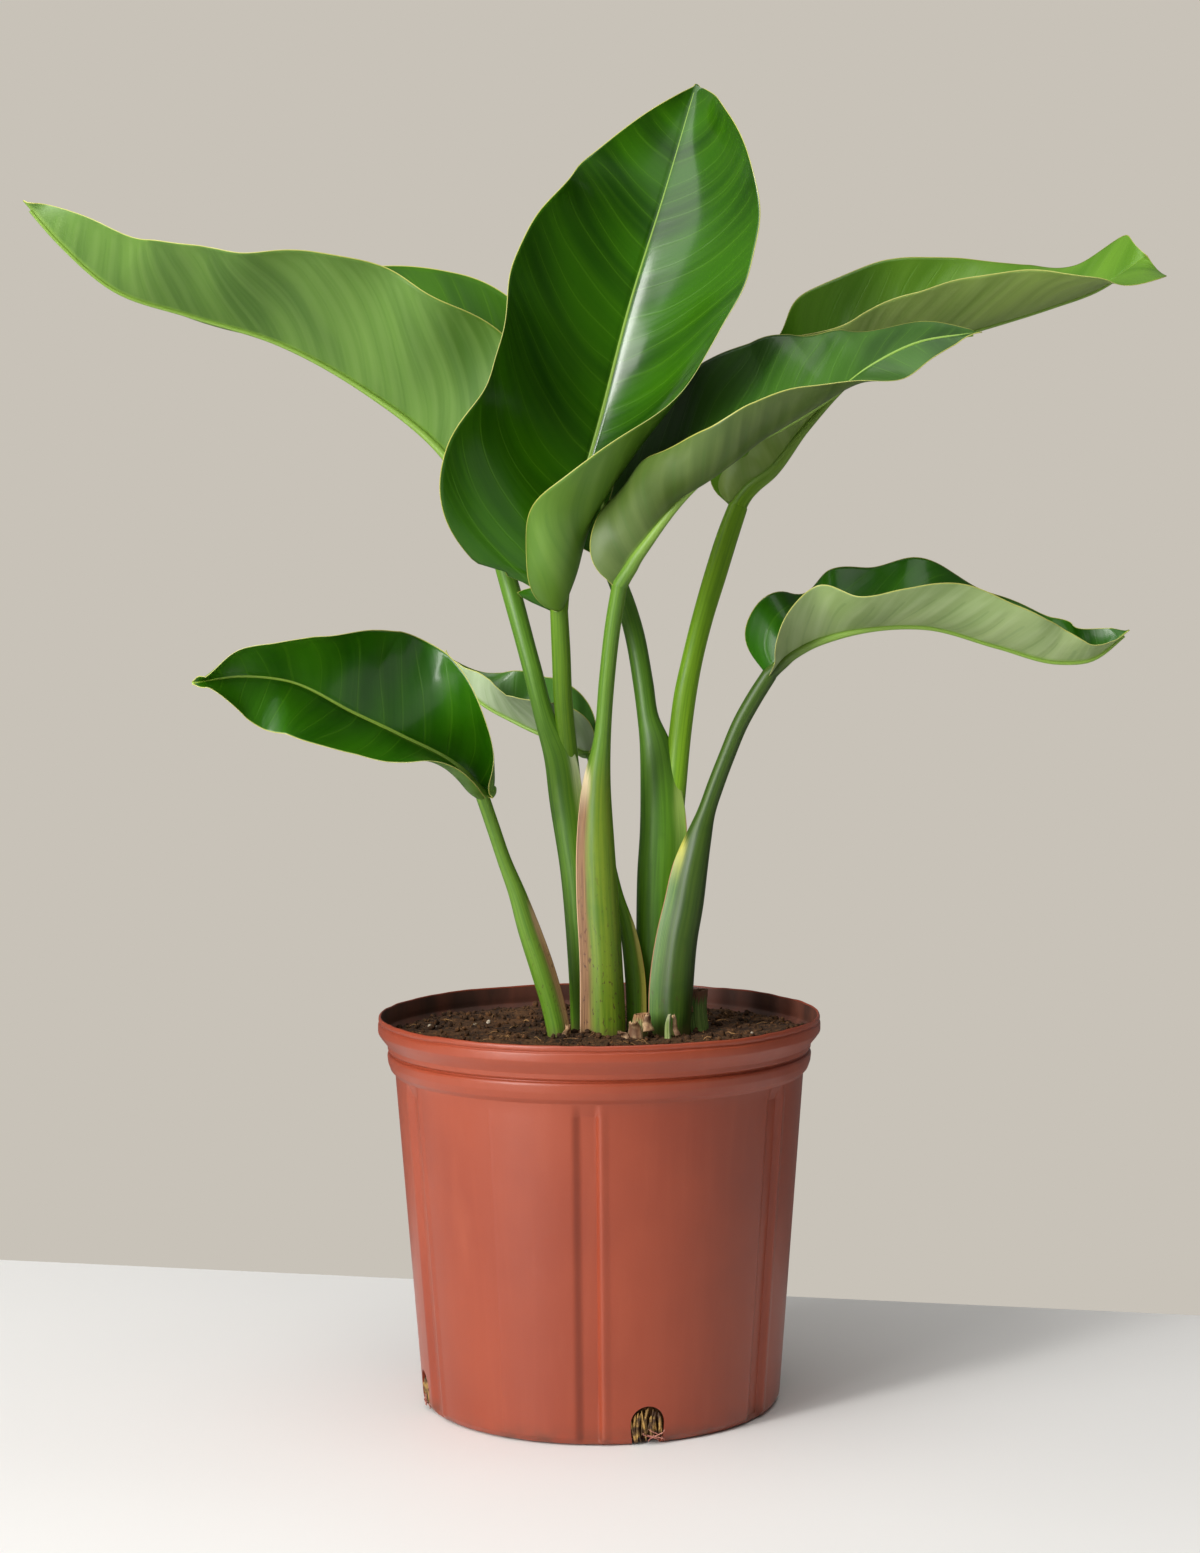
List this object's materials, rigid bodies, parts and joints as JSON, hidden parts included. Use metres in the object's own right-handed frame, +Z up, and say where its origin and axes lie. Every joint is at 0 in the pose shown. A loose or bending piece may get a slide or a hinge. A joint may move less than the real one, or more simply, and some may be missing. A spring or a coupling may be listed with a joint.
{
  "type": "potted bird of paradise plant",
  "caption": "Bird of paradise plant with broad folded paddle leaves on upright sheathed stalks, rooted in soil in a round tapered red-brown plastic nursery pot.",
  "frame": {"origin": "centre of the pot's underside, on the surface it stands on", "axes": "+Z up along the pot's axis; the leaves fan out along X; -Y is the side of the low left leaf, where the tall leaf shows its upper face"},
  "size_m": [0.7041, 0.3568, 0.8183],
  "materials": {
    "pot_plastic": "satin",
    "potting_soil": "matte",
    "leaf_green": "gloss",
    "stalk_green": "satin",
    "dry_sheath": "matte"
  },
  "bodies": {
    "root": {"pot": "pot_plastic", "soil": "potting_soil", "leaf_tall": "leaf_green", "leaf_left_high": "leaf_green", "leaf_right_front": "leaf_green", "leaf_right_back": "leaf_green", "leaf_right_low": "leaf_green", "leaf_left_low": "leaf_green", "leaf_small": "leaf_green", "leaf_rear": "leaf_green", "stalk_tall": "stalk_green", "stalk_left_high": "stalk_green", "stalk_right_front": "stalk_green", "stalk_rear": "stalk_green", "stalk_right_back": "stalk_green", "stalk_right_low": "stalk_green", "stalk_left_low": "stalk_green", "stalk_small": "stalk_green", "stub_right": "stalk_green", "stub_front": "dry_sheath", "sprout": "stalk_green"}
  },
  "joints": []
}
